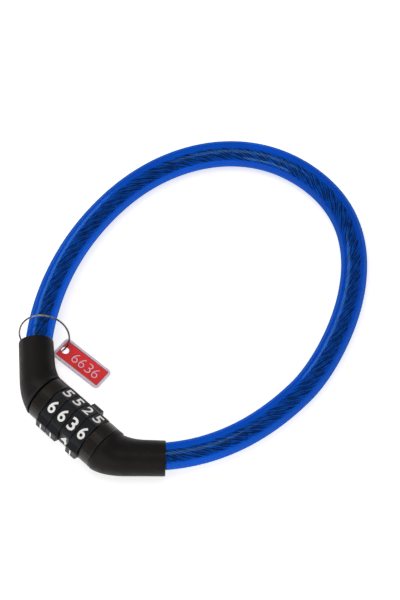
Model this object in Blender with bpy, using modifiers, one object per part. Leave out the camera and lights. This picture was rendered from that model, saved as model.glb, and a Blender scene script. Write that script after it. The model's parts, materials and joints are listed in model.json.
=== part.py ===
"""Combination cable lock: a ten-millimetre sheathed wire rope bent into a loop between a four-dial
barrel and its plug, with a wire ring and a number tag.

The lock lies on a table, with the origin under the middle of its outline. Its loop plane is the XY
plane of the empty "lock_frame", which is tilted so that the dials and the far side of the loop both
rest on the table. In that frame the barrel's axis is X, the loop is on the +Y side, the fixed boot is
at +X and the plug, which pulls out, at -X.
"""

import math

import bmesh
import bpy
from mathutils import Matrix, Vector

MM = 0.001
GAP = 0.3 * MM                        # running clearance between pieces that move

# ---- cable --------------------------------------------------------------------------------
CABLE_RADIUS = 5.0 * MM
# The cable's ends lie inside the boots, at side -1 (plug) and side 1 (fixed), and leave them at these
# angles from the barrel's axis.
CABLE_END = {-1: (-28.7 * MM, 9.55 * MM), 1: (29.3 * MM, 9.0 * MM)}
CABLE_END_ANGLE = {-1: math.radians(45), 1: math.radians(46)}
SHEATH_BORE_RADIUS = 2.0 * MM
ROPE_RADIUS = 1.7 * MM
# The loop's knots in its plane: left side, far end and right side, and how far each smooth arc's
# handles reach from the knots, walking from the plug's boot round to the fixed boot.
LOOP_LEFT = (-54.5 * MM, 77.25 * MM)
LOOP_FAR = (-3.75 * MM, 137.0 * MM)
LOOP_RIGHT = (51.75 * MM, 67.0 * MM)
HANDLES_PLUG_TO_LEFT = (9.0 * MM, 37.0 * MM)
HANDLES_LEFT_TO_FAR = (32.25 * MM, 31.75 * MM)
HANDLES_FAR_TO_RIGHT = (40.5 * MM, 18.25 * MM)
HANDLES_RIGHT_TO_FIXED = (35.5 * MM, 9.0 * MM)
ROUTE_STEPS = 60                      # samples along each of the four arcs
CABLE_SPACING = 5.5 * MM              # between the points of a cable solid
HINGE_Y = 60.0 * MM                   # the two side hinges of the flexing cable sit at this Y
BALL_RADIUS = CABLE_RADIUS
CUP_RADIUS = CABLE_RADIUS + GAP
ROPE_END_GAP = 5.8 * MM               # bare length at a seam, so that the rope clears the ball

# ---- barrel -------------------------------------------------------------------------------
DIAL_COUNT = 4
DIAL_PITCH = 5.0 * MM
DIAL_WIDTH = DIAL_PITCH - GAP
DIAL_APOTHEM = 8.0 * MM               # axis to a flat facet
DIAL_BORE_RADIUS = 6.9 * MM
DIAL_CORNER_RADIUS = 8.75 * MM        # axis to the rounded corners between facets
LOBE_RADIUS = 10.1 * MM               # axis to the top of the raised facet, the one for digit 1
LOBE_HALF_WIDTH = 2.2 * MM
FACET_ANGLE = math.radians(60)
READ_ANGLE = math.radians(22)         # the read row, from +Z towards -Y
CODE = (6, 6, 3, 6)                   # digits in the read row at rest, from -X to +X

COLLAR_RADIUS = 8.65 * MM
COLLAR_LENGTH = 5.05 * MM
COLLAR_BEVEL = 0.35 * MM
COLLAR_INNER_X = DIAL_COUNT * DIAL_PITCH / 2 + 0.15 * MM
COLLAR_OUTER_X = COLLAR_INNER_X + COLLAR_LENGTH
COLLAR_BORE_RADIUS = 4.4 * MM

TUBE_OUTER_RADIUS = 4.2 * MM
TUBE_INNER_RADIUS = 3.2 * MM
TUBE_TAIL_X = 18.4 * MM
SLOT_WIDTH = 2.2 * MM
SLOT_END_X = 10.1 * MM

CODE_RING_RADIUS = 6.75 * MM
WEB_BORE_RADIUS = TUBE_OUTER_RADIUS + GAP
WEB_WIDTH = 2.0 * MM
RECESS_RADIUS = 5.6 * MM
GATE_WIDTH = 2.4 * MM

PIN_RADIUS = 2.9 * MM
PIN_TIP_X = 9.6 * MM
PIN_HEAD_RADIUS = 4.4 * MM
PIN_HEAD_LENGTH = 1.7 * MM
PIN_END_X = -19.0 * MM
TOOTH_RADIUS = 5.2 * MM
TOOTH_WIDTH = 1.6 * MM
TOOTH_LENGTH = 1.6 * MM
TOOTH_OFFSET = 1.0 * MM               # a tooth's middle, from its dial's middle

# ---- boots --------------------------------------------------------------------------------
FIXED_BOOT_X = 15.4 * MM
PLUG_BOOT_X = 15.6 * MM
BOOT_CORNER_X = {-1: 18.75 * MM, 1: 20.0 * MM}  # where the barrel's axis meets a boot's outer leg
BOOT_LEG = {-1: 19.65 * MM, 1: 18.7 * MM}       # from that corner to the boot's mouth
BOOT_TURN = math.radians(42.2)
BOOT_BEND_RADIUS = 9.0 * MM
BOOT_BEND_STEPS = 6
BOOT_JOINT_RADIUS = 8.7 * MM
BOOT_NECK_RADIUS = 6.75 * MM          # just past the bend
BOOT_MOUTH_RADIUS = 6.5 * MM
BOOT_BORE_RADIUS = 5.15 * MM
BOOT_BORE_REACH = 10.0 * MM           # how far the bore follows the cable, out past the mouth
FERRULE_RADIUS = 4.6 * MM
FERRULE_LENGTH = 6.5 * MM
FERRULE_GAP = 0.5 * MM
ROPE_IN_FERRULE = 4.2 * MM
CROSS_PIN_RADIUS = 0.8 * MM

# ---- number tag ---------------------------------------------------------------------------
RING_RADIUS = 9.46 * MM
RING_WIRE_RADIUS = 0.36 * MM
RING_ALONG = 8.7 * MM                 # along the cable, from its plug end
RING_INWARD = 1.74 * MM               # the ring's middle lies towards the inside of the loop
RING_LIFT = 0.36 * MM
RING_YAW = math.radians(-54.4)        # the ring's own axis
RING_PITCH = math.radians(25.6)
TAG_HOLE_ANGLE = math.radians(36)     # down from the ring's widest point
TAG_HOLE_OUT = 0.5 * MM               # the hole's middle, outside the wire's own circle
TAG_LENGTH = 21.7 * MM
TAG_WIDTH = 9.5 * MM
TAG_THICKNESS = 0.9 * MM
TAG_CORNER = 1.6 * MM
TAG_RIM = 0.9 * MM
TAG_POCKET_DEPTH = 0.55 * MM
TAG_HOLE_RADIUS = 1.5 * MM
TAG_HOLE_FROM_END = 2.7 * MM
TAG_YAW = math.radians(5.3)
TAG_PITCH = math.radians(6.4)         # its far end is the lower one
TAG_ROLL = math.radians(-8.3)         # its near edge is the lower one
INSERT_GAP = 0.2 * MM
INSERT_THICKNESS = 0.3 * MM

# ---- how the lock lies --------------------------------------------------------------------
BARREL_HEIGHT = 9.15 * MM
OUTLINE_MIDDLE = (-1.5 * MM, 65.9 * MM)
TILT = math.asin((BARREL_HEIGHT - CABLE_RADIUS) / LOOP_FAR[1])

for old in list(bpy.data.objects):
    bpy.data.objects.remove(old, do_unlink=True)

PARTS = bpy.data.collections.new("cable_lock")
CUTTERS = bpy.data.collections.new("cutters")
bpy.context.scene.collection.children.link(PARTS)
bpy.context.scene.collection.children.link(CUTTERS)


# ---- materials ----------------------------------------------------------------------------
def principled(name, color, roughness, metallic=0.0, transmission=0.0, alpha=1.0):
    material = bpy.data.materials.new(name)
    material.use_nodes = True
    shader = material.node_tree.nodes["Principled BSDF"]
    shader.inputs["Base Color"].default_value = (*color, 1.0)
    shader.inputs["Roughness"].default_value = roughness
    shader.inputs["Metallic"].default_value = metallic
    shader.inputs["Transmission Weight"].default_value = transmission
    shader.inputs["Alpha"].default_value = alpha
    material.diffuse_color = (*color, alpha)
    return material


BOOT_PLASTIC = principled("boot_plastic", (0.020, 0.020, 0.021), 0.55)
COLLAR_PLASTIC = principled("collar_plastic", (0.012, 0.012, 0.013), 0.25)
DIAL_PLASTIC = principled("dial_plastic", (0.018, 0.019, 0.021), 0.40)
SHEATH_VINYL = principled("sheath_vinyl", (0.01, 0.12, 0.75), 0.08, transmission=0.8, alpha=0.6)
ROPE_STEEL = principled("rope_steel", (0.45, 0.46, 0.48), 0.35, metallic=1.0)
STEEL = principled("steel", (0.55, 0.55, 0.56), 0.30, metallic=1.0)
BRASS = principled("brass", (0.70, 0.50, 0.22), 0.30, metallic=1.0)
TAG_CLEAR = principled("tag_clear", (0.86, 0.84, 0.94), 0.15, transmission=0.5, alpha=0.6)
TAG_RED = principled("tag_red", (0.75, 0.03, 0.05), 0.45)


# ---- small tools --------------------------------------------------------------------------
def place(item, matrix, parent):
    item.parent = parent
    item.matrix_basis = matrix
    return item


def new_object(name, data, matrix, parent, material=None):
    item = bpy.data.objects.new(name, data)
    if material is None:
        CUTTERS.objects.link(item)
        item.display_type = 'WIRE'
        item.hide_render = True
    else:
        PARTS.objects.link(item)
        data.materials.append(material)
    return place(item, matrix, parent)


def empty(name, matrix, parent):
    item = bpy.data.objects.new(name, None)
    PARTS.objects.link(item)
    return place(item, matrix, parent)


def smooth(item, angle=math.radians(35)):
    item.data.shade_smooth()
    item.data.set_sharp_from_angle(angle=angle)


def cut(item, cutter, operation='DIFFERENCE'):
    boolean = item.modifiers.new(operation.lower(), 'BOOLEAN')
    boolean.operation = operation
    boolean.object = cutter


def bevel(item, width, segments=2, angle=math.radians(35)):
    modifier = item.modifiers.new("bevel", 'BEVEL')
    modifier.width = width
    modifier.segments = segments
    modifier.limit_method = 'ANGLE'
    modifier.angle_limit = angle


def bake_curve(item):
    """Turn a curve object into a mesh object with the same name, place and material."""
    bpy.context.view_layer.update()
    graph = bpy.context.evaluated_depsgraph_get()
    mesh = bpy.data.meshes.new_from_object(item.evaluated_get(graph))
    shape = bmesh.new()
    shape.from_mesh(mesh)
    bmesh.ops.remove_doubles(shape, verts=shape.verts, dist=0.001 * MM)
    bmesh.ops.recalc_face_normals(shape, faces=shape.faces)
    shape.to_mesh(mesh)
    shape.free()
    name = item.name
    material = item.data.materials[0] if item.data.materials else None
    matrix = item.matrix_basis.copy()
    parent = item.parent
    mesh.materials.clear()
    bpy.data.objects.remove(item, do_unlink=True)
    return new_object(name, mesh, matrix, parent, material)


def tube(name, points, radii, sides, material, parent, closed=False):
    """A round bar along points, with its own radius at each point. sides is a multiple of 2."""
    curve = bpy.data.curves.new(name, 'CURVE')
    curve.dimensions = '3D'
    curve.bevel_depth = 1.0
    curve.bevel_resolution = (sides - 4) // 2
    curve.use_fill_caps = not closed
    curve.twist_mode = 'Z_UP'
    spline = curve.splines.new('POLY')
    spline.points.add(len(points) - 1)
    for index, point in enumerate(points):
        spline.points[index].co = (*point, 1.0)
        spline.points[index].radius = radii[index]
    spline.use_cyclic_u = closed
    return bake_curve(new_object(name, curve, Matrix(), parent, material))


def outline(name, loops, thickness, matrix, parent, material):
    """A flat plate with its outline, and then its holes, in the object's own XY plane."""
    curve = bpy.data.curves.new(name, 'CURVE')
    curve.dimensions = '2D'
    curve.fill_mode = 'BOTH'
    curve.extrude = thickness / 2
    for loop in loops:
        spline = curve.splines.new('POLY')
        spline.points.add(len(loop) - 1)
        for index, (x, y) in enumerate(loop):
            spline.points[index].co = (x, y, 0.0, 1.0)
        spline.use_cyclic_u = True
    return bake_curve(new_object(name, curve, matrix, parent, material))


def turned(name, profile, matrix, parent, material, steps=36, closed=True):
    """A solid of revolution about the object's Z. The profile is (radius, z), outer side downwards."""
    mesh = bpy.data.meshes.new(name)
    shape = bmesh.new()
    corners = [shape.verts.new((radius, 0.0, z)) for radius, z in profile]
    for first, second in zip(corners, corners[1:]):
        shape.edges.new((first, second))
    if closed:
        shape.edges.new((corners[-1], corners[0]))
    shape.to_mesh(mesh)
    shape.free()
    item = new_object(name, mesh, matrix, parent, material)
    screw = item.modifiers.new("turn", 'SCREW')
    screw.steps = steps
    screw.render_steps = steps
    screw.use_merge_vertices = True
    screw.merge_threshold = 0.001 * MM
    return item


def box(name, size, matrix, parent, material=None):
    mesh = bpy.data.meshes.new(name)
    shape = bmesh.new()
    bmesh.ops.create_cube(shape, size=1.0)
    bmesh.ops.scale(shape, vec=size, verts=shape.verts)
    shape.to_mesh(mesh)
    shape.free()
    return new_object(name, mesh, matrix, parent, material)


def ball(name, radius, centre, parent):
    mesh = bpy.data.meshes.new(name)
    shape = bmesh.new()
    bmesh.ops.create_uvsphere(shape, u_segments=20, v_segments=12, radius=radius)
    shape.to_mesh(mesh)
    shape.free()
    return new_object(name, mesh, Matrix.Translation(centre), parent)


def circle(radius, sides, centre=(0.0, 0.0)):
    angles = [2 * math.pi * index / sides for index in range(sides)]
    return [(centre[0] + radius * math.cos(a), centre[1] + radius * math.sin(a)) for a in angles]


def ring_profile(inner, outer, low, high, edge=0.0):
    """A ring's section, with its two outer corners taken off by edge."""
    if edge == 0.0:
        return [(outer, high), (outer, low), (inner, low), (inner, high)]
    return [(outer - edge, high), (outer, high - edge), (outer, low + edge), (outer - edge, low),
            (inner, low), (inner, high)]


def barrel_frame(x, angle=0.0):
    """Z along the barrel, Y out from the axis at angle (from +Z towards -Y), origin on the axis."""
    across = Vector((0.0, math.cos(angle), math.sin(angle)))
    outward = Vector((0.0, -math.sin(angle), math.cos(angle)))
    along = Vector((1.0, 0.0, 0.0))
    rotation = Matrix((across, outward, along)).transposed()
    return Matrix.Translation((x, 0.0, 0.0)) @ rotation.to_4x4()


def frame_along(origin, direction, up=Vector((0.0, 0.0, 1.0))):
    """Z along direction, Y as near as can be to up."""
    z_axis = Vector(direction).normalized()
    x_axis = Vector(up).cross(z_axis).normalized()
    y_axis = z_axis.cross(x_axis)
    rotation = Matrix((x_axis, y_axis, z_axis)).transposed()
    return Matrix.Translation(origin) @ rotation.to_4x4()


# ---- the cable's route ----------------------------------------------------------------------
def boot_leg_point(side, from_mouth):
    """A point on the outer leg of a boot's centreline; side is -1 for the plug, 1 for the fixed end."""
    reach = BOOT_LEG[side] - from_mouth
    x = BOOT_CORNER_X[side] + reach * math.cos(BOOT_TURN)
    return Vector((side * x, reach * math.sin(BOOT_TURN), 0.0))


def cable_end_point(side, inward=0.0):
    """The cable's end inside a boot, or a point further in on its line."""
    return Vector((*CABLE_END[side], 0.0)) - cable_end_direction(side) * inward


def cable_end_direction(side):
    angle = CABLE_END_ANGLE[side]
    return Vector((side * math.cos(angle), math.sin(angle), 0.0))


def bezier(start, start_handle, end_handle, end, steps):
    points = []
    for index in range(steps):
        t = index / steps
        u = 1 - t
        points.append(start * u ** 3 + start_handle * (3 * u * u * t)
                      + end_handle * (3 * u * t * t) + end * t ** 3)
    return points


def cable_route():
    """Points along the cable's centreline from the plug's end to the fixed end."""
    start = cable_end_point(-1)
    end = cable_end_point(1)
    left = Vector((*LOOP_LEFT, 0.0))
    far = Vector((*LOOP_FAR, 0.0))
    right = Vector((*LOOP_RIGHT, 0.0))
    along_x = Vector((1.0, 0.0, 0.0))
    along_y = Vector((0.0, 1.0, 0.0))
    leave, arrive = HANDLES_PLUG_TO_LEFT
    points = bezier(start, start + cable_end_direction(-1) * leave, left - along_y * arrive, left,
                    ROUTE_STEPS)
    leave, arrive = HANDLES_LEFT_TO_FAR
    points += bezier(left, left + along_y * leave, far - along_x * arrive, far, ROUTE_STEPS)
    leave, arrive = HANDLES_FAR_TO_RIGHT
    points += bezier(far, far + along_x * leave, right + along_y * arrive, right, ROUTE_STEPS)
    leave, arrive = HANDLES_RIGHT_TO_FIXED
    points += bezier(right, right - along_y * leave, end + cable_end_direction(1) * arrive, end,
                     ROUTE_STEPS)
    return points + [end]


ROUTE = cable_route()


def route_lengths():
    lengths = [0.0]
    for first, second in zip(ROUTE, ROUTE[1:]):
        lengths.append(lengths[-1] + (second - first).length)
    return lengths


LENGTHS = route_lengths()
CABLE_LENGTH = LENGTHS[-1]


def route_at(distance):
    """The point at a distance along the cable, with the end tangents carried on straight."""
    if distance <= 0.0:
        return cable_end_point(-1, -distance)
    if distance >= CABLE_LENGTH:
        return cable_end_point(1, distance - CABLE_LENGTH)
    index = next(i for i, length in enumerate(LENGTHS) if length > distance) - 1
    share = (distance - LENGTHS[index]) / (LENGTHS[index + 1] - LENGTHS[index])
    return ROUTE[index].lerp(ROUTE[index + 1], share)


def route_span(start, end):
    """Evenly spaced points from one distance along the cable to another."""
    count = max(2, math.ceil((end - start) / CABLE_SPACING))
    return [route_at(start + (end - start) * index / count) for index in range(count + 1)]


def distance_at(axis, value, start=0.0):
    """How far along the cable, after start, its X (axis 0) or Y (axis 1) passes a value."""
    for index in range(1, len(ROUTE)):
        before = ROUTE[index - 1][axis] - value
        after = ROUTE[index][axis] - value
        if LENGTHS[index - 1] >= start and before * after <= 0.0:
            share = before / (before - after)
            return LENGTHS[index - 1] + share * (LENGTHS[index] - LENGTHS[index - 1])
    return CABLE_LENGTH


# Three hinges, square to the loop's plane, stand for the cable's bending. The side hinges share
# their Y and the far hinge's X is midway between them, so turning the sides by q and the far hinge
# by -2q moves the plug straight along the barrel.
PLUG_HINGE_AT = distance_at(1, HINGE_Y)
PLUG_HINGE = route_at(PLUG_HINGE_AT)
FIXED_HINGE_AT = distance_at(1, HINGE_Y, CABLE_LENGTH / 2)
FIXED_HINGE = route_at(FIXED_HINGE_AT)
FAR_HINGE_AT = distance_at(0, (PLUG_HINGE.x + FIXED_HINGE.x) / 2, PLUG_HINGE_AT)
FAR_HINGE = route_at(FAR_HINGE_AT)


# ---- cable ----------------------------------------------------------------------------------
def sheath_link(name, start, end, parent, ball_at_start, cup_at_end):
    """One length of the clear vinyl sheath, with a rounded end or a cupped end at a hinge."""
    points = route_span(start, end)
    radii = [CABLE_RADIUS] * len(points)
    if ball_at_start:
        for reach in (0.35, 0.62, 0.82):
            points.insert(0, route_at(start - reach * BALL_RADIUS))
            radii.insert(0, BALL_RADIUS * math.sqrt(1 - reach ** 2))
    link = tube(name, points, radii, 14, SHEATH_VINYL, parent)
    bore_points = route_span(start - 2 * CABLE_RADIUS, end + 2 * CABLE_RADIUS)
    bore = tube(name + "_bore", bore_points, [SHEATH_BORE_RADIUS] * len(bore_points), 8, None, parent)
    cut(link, bore)
    if cup_at_end:
        cut(link, ball(name + "_cup", CUP_RADIUS, route_at(end), parent))
    smooth(link)


def rope_link(name, start, end, parent):
    points = route_span(start, end)
    smooth(tube(name, points, [ROPE_RADIUS] * len(points), 8, ROPE_STEEL, parent))


def cable(bodies):
    """Four sheath lengths and four rope lengths, walking from the plug to the fixed boot."""
    stations = (0.0, PLUG_HINGE_AT, FAR_HINGE_AT, FIXED_HINGE_AT, CABLE_LENGTH)
    names = ("plug", "left", "right", "fixed")
    into_ferrule = FERRULE_GAP + ROPE_IN_FERRULE
    for index, name in enumerate(names):
        start, end = stations[index], stations[index + 1]
        sheath_link("sheath_" + name, start, end, bodies[index], index > 0, index < 3)
        rope_start = start - into_ferrule if index == 0 else start
        rope_end = end + into_ferrule if index == 3 else end - ROPE_END_GAP
        rope_link("wire_rope_" + name, rope_start, rope_end, bodies[index])


# ---- boots ----------------------------------------------------------------------------------
def boot_path(side, face_x):
    """The boot's centreline and outer radius from its joint face to its mouth."""
    tangent = BOOT_BEND_RADIUS * math.tan(BOOT_TURN / 2)
    bend_x = BOOT_CORNER_X[side] - tangent
    points = [(face_x, 0.0), (face_x + COLLAR_BEVEL, 0.0)]
    radii = [BOOT_JOINT_RADIUS - COLLAR_BEVEL, BOOT_JOINT_RADIUS]
    for step in range(1, BOOT_BEND_STEPS + 1):
        share = step / BOOT_BEND_STEPS
        angle = BOOT_TURN * share
        points.append((bend_x + BOOT_BEND_RADIUS * math.sin(angle),
                       BOOT_BEND_RADIUS * (1 - math.cos(angle))))
        ease = math.sin(math.pi / 2 * share)
        radii.append(BOOT_JOINT_RADIUS + (BOOT_NECK_RADIUS - BOOT_JOINT_RADIUS) * ease)
    path = [Vector((side * x, y, 0.0)) for x, y in points]
    path.append(boot_leg_point(side, (BOOT_LEG[side] - tangent) / 2))
    radii.append((BOOT_NECK_RADIUS + BOOT_MOUTH_RADIUS) / 2)
    path.append(boot_leg_point(side, COLLAR_BEVEL))
    radii.append(BOOT_MOUTH_RADIUS)
    path.append(boot_leg_point(side, 0.0))
    radii.append(BOOT_MOUTH_RADIUS - COLLAR_BEVEL)
    return path, radii


def boot_bore_path(side, face_x):
    """Straight in from the joint face, round the bend, then along the ferrule and the cable."""
    inner_bend = 2 + BOOT_BEND_STEPS * 2 // 3
    path = boot_path(side, face_x)[0][2:inner_bend]
    path.insert(0, Vector((side * (face_x - 2 * MM), 0.0, 0.0)))
    path.append(cable_end_point(side, FERRULE_GAP + FERRULE_LENGTH))
    for step in range(5):
        distance = BOOT_BORE_REACH * step / 4
        path.append(route_at(distance if side < 0 else CABLE_LENGTH - distance))
    return path


def boot(name, side, face_x, parent):
    path, radii = boot_path(side, face_x)
    item = tube(name, path, radii, 26, BOOT_PLASTIC, parent)
    bore_path = boot_bore_path(side, face_x)
    bore = tube(name + "_bore", bore_path, [BOOT_BORE_RADIUS] * len(bore_path), 20, None, parent)
    cut(item, bore)
    smooth(item)


def ferrule(name, side, parent):
    """The steel sleeve crimped on the rope's end, with its cross pin."""
    direction = cable_end_direction(side)
    origin = cable_end_point(side, FERRULE_GAP)
    groove = 0.35 * MM
    profile = [(FERRULE_RADIUS - groove, 0.0), (FERRULE_RADIUS, -groove)]
    for start in (1.0 * MM, 2.8 * MM):
        profile += [(FERRULE_RADIUS, -start), (FERRULE_RADIUS - groove, -start - groove),
                    (FERRULE_RADIUS - groove, -start - 2 * groove), (FERRULE_RADIUS, -start - 3 * groove)]
    profile += [(FERRULE_RADIUS, groove - FERRULE_LENGTH), (FERRULE_RADIUS - groove, -FERRULE_LENGTH),
                (SHEATH_BORE_RADIUS, -FERRULE_LENGTH), (SHEATH_BORE_RADIUS, 0.0)]
    sleeve = turned(name, profile, frame_along(origin, direction), parent, STEEL, steps=22)
    pin_at = cable_end_point(side, FERRULE_GAP + FERRULE_LENGTH - 1.3 * MM)
    upright = Matrix.Translation(pin_at)
    half = BOOT_BORE_RADIUS - 2.5 * GAP
    hole = turned(name + "_pin_hole", [(0.0, 2 * half), (CROSS_PIN_RADIUS + 0.1 * MM, 2 * half),
                                       (CROSS_PIN_RADIUS + 0.1 * MM, -2 * half), (0.0, -2 * half)],
                  upright, parent, None, steps=16, closed=False)
    cut(sleeve, hole)
    smooth(sleeve)
    pin = turned(name + "_pin", [(0.0, half), (CROSS_PIN_RADIUS, half), (CROSS_PIN_RADIUS, -half),
                                 (0.0, -half)], upright, parent, STEEL, steps=14, closed=False)
    smooth(pin)


# ---- barrel ---------------------------------------------------------------------------------
def core_tube(parent):
    start_x = -COLLAR_OUTER_X
    profile = ring_profile(TUBE_INNER_RADIUS, TUBE_OUTER_RADIUS, start_x, TUBE_TAIL_X)
    item = turned("core_tube", profile, barrel_frame(0.0, READ_ANGLE), parent, STEEL)
    length = SLOT_END_X - start_x + 2 * MM
    middle = SLOT_END_X - length / 2
    slot = box("core_slot", (SLOT_WIDTH, TUBE_OUTER_RADIUS, length),
               barrel_frame(middle, READ_ANGLE) @ Matrix.Translation((0.0, TUBE_OUTER_RADIUS, 0.0)), parent)
    cut(item, slot)
    smooth(item)


def fixed_collar(parent):
    recess_radius, recess_depth = 7.0 * MM, 1.8 * MM
    edge = COLLAR_BEVEL
    low, high = COLLAR_INNER_X, COLLAR_OUTER_X
    profile = [(COLLAR_RADIUS - edge, high), (COLLAR_RADIUS, high - edge), (COLLAR_RADIUS, low + edge),
               (COLLAR_RADIUS - edge, low), (recess_radius, low), (recess_radius, low + recess_depth),
               (COLLAR_BORE_RADIUS, low + recess_depth), (COLLAR_BORE_RADIUS, high)]
    smooth(turned("fixed_collar", profile, barrel_frame(0.0), parent, COLLAR_PLASTIC, steps=40))


def dial_spring(parent):
    """A short coil that presses the dials together, in the fixed collar's recess."""
    radius, wire, pitch, turns, steps = 5.75 * MM, 0.28 * MM, 0.75 * MM, 1.5, 16
    points = []
    count = int(turns * steps)
    for index in range(count + 1):
        angle = 2 * math.pi * index / steps
        points.append(Vector((COLLAR_INNER_X + 0.4 * MM + pitch * index / steps,
                              radius * math.cos(angle), radius * math.sin(angle))))
    smooth(tube("dial_spring", points, [wire] * len(points), 6, STEEL, parent))


def mouth_collar(parent):
    """The collar that the plug meets, with a keyway for the lock pin's teeth and a clip's recess."""
    recess_radius, recess_depth = 6.4 * MM, 1.2 * MM
    edge = COLLAR_BEVEL
    low, high = -COLLAR_OUTER_X, -COLLAR_INNER_X
    profile = [(COLLAR_RADIUS - edge, high), (COLLAR_RADIUS, high - edge), (COLLAR_RADIUS, low + edge),
               (COLLAR_RADIUS - edge, low), (recess_radius, low), (recess_radius, low + recess_depth),
               (COLLAR_BORE_RADIUS, low + recess_depth), (COLLAR_BORE_RADIUS, high)]
    item = turned("mouth_collar", profile, barrel_frame(0.0, READ_ANGLE), parent, COLLAR_PLASTIC, steps=40)
    keyway = box("mouth_keyway", (GATE_WIDTH, RECESS_RADIUS, 3 * COLLAR_LENGTH),
                 barrel_frame((low + high) / 2, READ_ANGLE)
                 @ Matrix.Translation((0.0, RECESS_RADIUS / 2, 0.0)), parent)
    cut(item, keyway)
    smooth(item)


def retaining_clip(parent):
    """A C-shaped spring clip in the mouth collar's face, open over the keyway."""
    inner, outer, thickness, steps = 4.5 * MM, 5.9 * MM, 0.8 * MM, 22
    opening = math.radians(24)
    sweep = [math.pi / 2 + opening + (2 * math.pi - 2 * opening) * i / steps for i in range(steps + 1)]
    loop = [(outer * math.cos(a), outer * math.sin(a)) for a in sweep]
    loop += [(inner * math.cos(a), inner * math.sin(a)) for a in reversed(sweep)]
    x = -COLLAR_OUTER_X + 0.2 * MM + thickness / 2
    smooth(outline("retaining_clip", [loop], thickness, barrel_frame(x, READ_ANGLE), parent, STEEL))


def tube_nut(parent):
    profile = ring_profile(TUBE_OUTER_RADIUS + 0.1 * MM, BOOT_BORE_RADIUS - GAP,
                           FIXED_BOOT_X + 0.3 * MM, FIXED_BOOT_X + 1.8 * MM)
    smooth(turned("tube_nut", profile, barrel_frame(0.0), parent, STEEL, steps=28))


def dial_outline():
    """Six facets round the axis with round corners. The first, along Y, is raised into a lobe."""
    corner_half = FACET_ANGLE / 2 - math.acos(DIAL_APOTHEM / DIAL_CORNER_RADIUS)
    right = [(LOBE_HALF_WIDTH, LOBE_RADIUS)]
    for facet in range(3):
        middle = FACET_ANGLE * (facet + 0.5)
        for share in (-1.0, 0.0, 1.0):
            turn = middle + share * corner_half
            right.append((DIAL_CORNER_RADIUS * math.sin(turn), DIAL_CORNER_RADIUS * math.cos(turn)))
    return right + [(-x, y) for x, y in reversed(right)]


def dial(number, parent_frame):
    """One numbered dial on its own hinge, with the brass code ring pressed inside it."""
    x = (number - (DIAL_COUNT + 1) / 2) * DIAL_PITCH
    axle = empty("dial_%d_axis" % number, Matrix.Translation((x, 0.0, 0.0)), parent_frame)
    lobe_angle = READ_ANGLE + FACET_ANGLE * (1 - CODE[number - 1])
    loops = [dial_outline(), circle(DIAL_BORE_RADIUS, 26)]
    shell = outline("dial_%d" % number, loops, DIAL_WIDTH, barrel_frame(0.0, lobe_angle), axle, DIAL_PLASTIC)
    bevel(shell, 0.25 * MM)
    smooth(shell)
    half = DIAL_WIDTH / 2
    step = WEB_WIDTH - half
    profile = [(CODE_RING_RADIUS, half), (CODE_RING_RADIUS, -half), (WEB_BORE_RADIUS, -half),
               (WEB_BORE_RADIUS, step), (RECESS_RADIUS, step), (RECESS_RADIUS, half)]
    name = "code_ring_%d" % number
    ring = turned(name, profile, barrel_frame(0.0, READ_ANGLE), axle, BRASS, steps=26)
    gate = box(name + "_gate", (GATE_WIDTH, RECESS_RADIUS, 2 * DIAL_WIDTH),
               barrel_frame(0.0, READ_ANGLE) @ Matrix.Translation((0.0, RECESS_RADIUS / 2, 0.0)), axle)
    cut(ring, gate)
    smooth(ring)


# ---- plug -----------------------------------------------------------------------------------
def lock_pin(parent):
    """The plug's shaft with one tooth for each code ring."""
    edge = 0.4 * MM
    profile = [(0.0, PIN_TIP_X), (PIN_RADIUS - edge, PIN_TIP_X), (PIN_RADIUS, PIN_TIP_X - edge),
               (PIN_RADIUS, PIN_END_X + PIN_HEAD_LENGTH), (PIN_HEAD_RADIUS, PIN_END_X + PIN_HEAD_LENGTH),
               (PIN_HEAD_RADIUS, PIN_END_X), (0.0, PIN_END_X)]
    item = turned("lock_pin", profile, barrel_frame(0.0, READ_ANGLE), parent, STEEL, steps=32, closed=False)
    for number in range(1, DIAL_COUNT + 1):
        x = (number - (DIAL_COUNT + 1) / 2) * DIAL_PITCH + TOOTH_OFFSET
        tooth = box("tooth_%d" % number, (TOOTH_WIDTH, TOOTH_RADIUS, TOOTH_LENGTH),
                    barrel_frame(x, READ_ANGLE) @ Matrix.Translation((0.0, TOOTH_RADIUS / 2, 0.0)), parent)
        cut(item, tooth, 'UNION')
    smooth(item)


def plug_cap(parent):
    """The disc that closes the plug boot round the lock pin."""
    profile = ring_profile(PIN_RADIUS + 0.1 * MM, BOOT_BORE_RADIUS - GAP, -PLUG_BOOT_X - 1.4 * MM,
                           -PLUG_BOOT_X)
    smooth(turned("plug_cap", profile, barrel_frame(0.0), parent, STEEL, steps=28))


# ---- number tag -----------------------------------------------------------------------------
def ring_place():
    """The point of the cable that the ring turns about, the ring's middle and the ring's own axis."""
    point = route_at(RING_ALONG)
    tangent = (route_at(RING_ALONG + MM) - route_at(RING_ALONG - MM)).normalized()
    inward = tangent.cross(Vector((0.0, 0.0, 1.0)))
    centre = point + inward * RING_INWARD + Vector((0.0, 0.0, RING_LIFT))
    axis = Vector((math.cos(RING_PITCH) * math.cos(RING_YAW), math.cos(RING_PITCH) * math.sin(RING_YAW),
                   math.sin(RING_PITCH)))
    return point, centre, axis


def tag_ring(point, centre, axis, parent_frame):
    pivot = empty("tag_ring_axis", Matrix.Translation(point), parent_frame)
    frame = frame_along(centre - point, axis)
    steps = 36
    points = [frame @ Vector((*xy, 0.0)) for xy in circle(RING_RADIUS, steps)]
    smooth(tube("tag_ring", points, [RING_WIRE_RADIUS] * steps, 6, STEEL, pivot, closed=True))
    return pivot


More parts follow.
